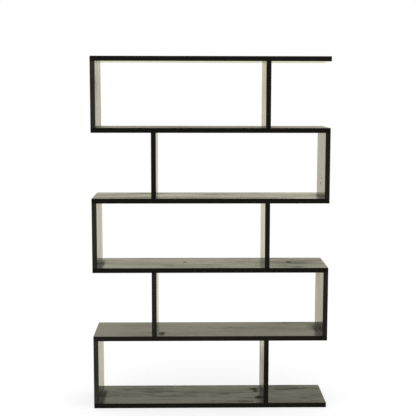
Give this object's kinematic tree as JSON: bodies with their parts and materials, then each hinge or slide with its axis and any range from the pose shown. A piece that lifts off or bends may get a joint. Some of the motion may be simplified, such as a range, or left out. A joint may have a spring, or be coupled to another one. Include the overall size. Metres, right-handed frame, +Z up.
{
  "type": "zigzag bookshelf",
  "caption": "Open zigzag bookcase: full-length boards joined by end panels at alternate sides, with a divider in each tier, standing on the floor to hold books and ornaments.",
  "frame": {"origin": "middle of the footprint, on the floor under the bottom board", "axes": "+Z up; +X to the right of someone facing the front; the front faces -Y and the open back +Y"},
  "size_m": [1.2, 0.3, 1.8],
  "materials": {
    "stained_wood": "near-black espresso stain under satin lacquer",
    "dowel_beech": "bare fluted beech"
  },
  "bodies": {
    "root": {"top_board": "stained_wood", "shelf_board_1": "stained_wood", "shelf_board_2": "stained_wood", "shelf_board_3": "stained_wood", "shelf_board_4": "stained_wood", "bottom_board": "stained_wood", "left_end_panel_1": "stained_wood", "divider_1": "stained_wood", "right_end_panel_2": "stained_wood", "divider_2": "stained_wood", "left_end_panel_3": "stained_wood", "divider_3": "stained_wood", "right_end_panel_4": "stained_wood", "divider_4": "stained_wood", "left_end_panel_5": "stained_wood", "divider_5": "stained_wood", "left_end_panel_1_upper_dowels": "dowel_beech", "left_end_panel_1_lower_dowels": "dowel_beech", "divider_1_upper_dowels": "dowel_beech", "divider_1_lower_dowels": "dowel_beech", "right_end_panel_2_upper_dowels": "dowel_beech", "right_end_panel_2_lower_dowels": "dowel_beech", "divider_2_upper_dowels": "dowel_beech", "divider_2_lower_dowels": "dowel_beech", "left_end_panel_3_upper_dowels": "dowel_beech", "left_end_panel_3_lower_dowels": "dowel_beech", "divider_3_upper_dowels": "dowel_beech", "divider_3_lower_dowels": "dowel_beech", "right_end_panel_4_upper_dowels": "dowel_beech", "right_end_panel_4_lower_dowels": "dowel_beech", "divider_4_upper_dowels": "dowel_beech", "divider_4_lower_dowels": "dowel_beech", "left_end_panel_5_upper_dowels": "dowel_beech", "left_end_panel_5_lower_dowels": "dowel_beech", "divider_5_upper_dowels": "dowel_beech", "divider_5_lower_dowels": "dowel_beech"}
  },
  "joints": []
}
